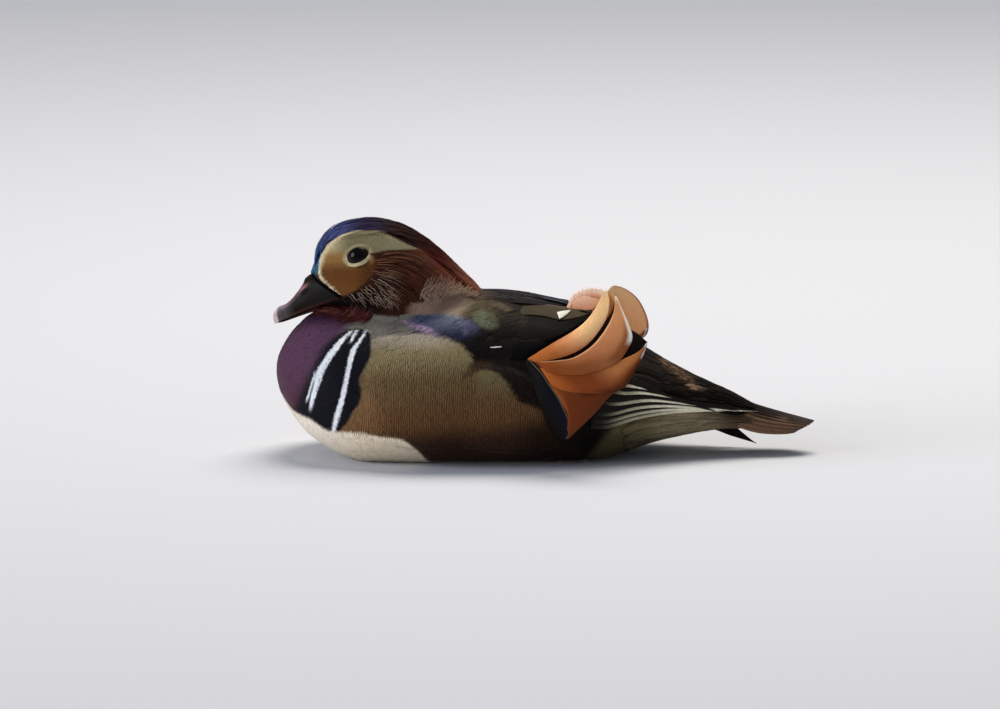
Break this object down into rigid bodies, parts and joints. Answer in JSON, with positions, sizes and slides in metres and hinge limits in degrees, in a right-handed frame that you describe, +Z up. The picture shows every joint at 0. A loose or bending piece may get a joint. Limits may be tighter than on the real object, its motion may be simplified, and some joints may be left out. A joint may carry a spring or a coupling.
{
  "type": "mandarin duck",
  "caption": "Life-size mandarin duck drake resting on its belly, neck drawn in, orange sail feathers raised over folded wings, long crest swept back.",
  "frame": {"origin": "on the floor under the middle of the bird", "axes": "+Z up, the bill points along -X, the duck's left side faces -Y"},
  "size_m": [0.2938, 0.1302, 0.1311],
  "materials": {
    "body_plumage": "soft olive-buff body feathers, maroon breast, white belly",
    "ruff_plumage": "chestnut hackles with buff shafts",
    "face_plumage": "short cream and golden-buff face feathers",
    "crest_plumage": "glossy green, blue and maroon crest feathers",
    "bill_horn": "dark purplish-brown horn with a slight sheen",
    "nail_horn": "pale pink horn",
    "eye": "wet, nearly black",
    "wing_plumage": "dark flight feathers with pale outer edges",
    "sail_plumage": "apricot to orange-brown sail vanes with a navy outer web",
    "tail_plumage": "dark brown tail feathers and a buff rump",
    "foot_skin": "scaled orange-yellow skin"
  },
  "bodies": {
    "root": {"torso": "body_plumage", "neck": "ruff_plumage", "head": "face_plumage", "crest": "crest_plumage", "bill_upper": "bill_horn", "bill_nail": "nail_horn", "bill_lower": "bill_horn", "eye_left": "eye", "eye_right": "eye", "wing_left": "wing_plumage", "wing_right": "wing_plumage", "sail_left": "sail_plumage", "sail_right": "sail_plumage", "tail": "tail_plumage", "foot_left": "foot_skin", "foot_right": "foot_skin"}
  },
  "joints": []
}
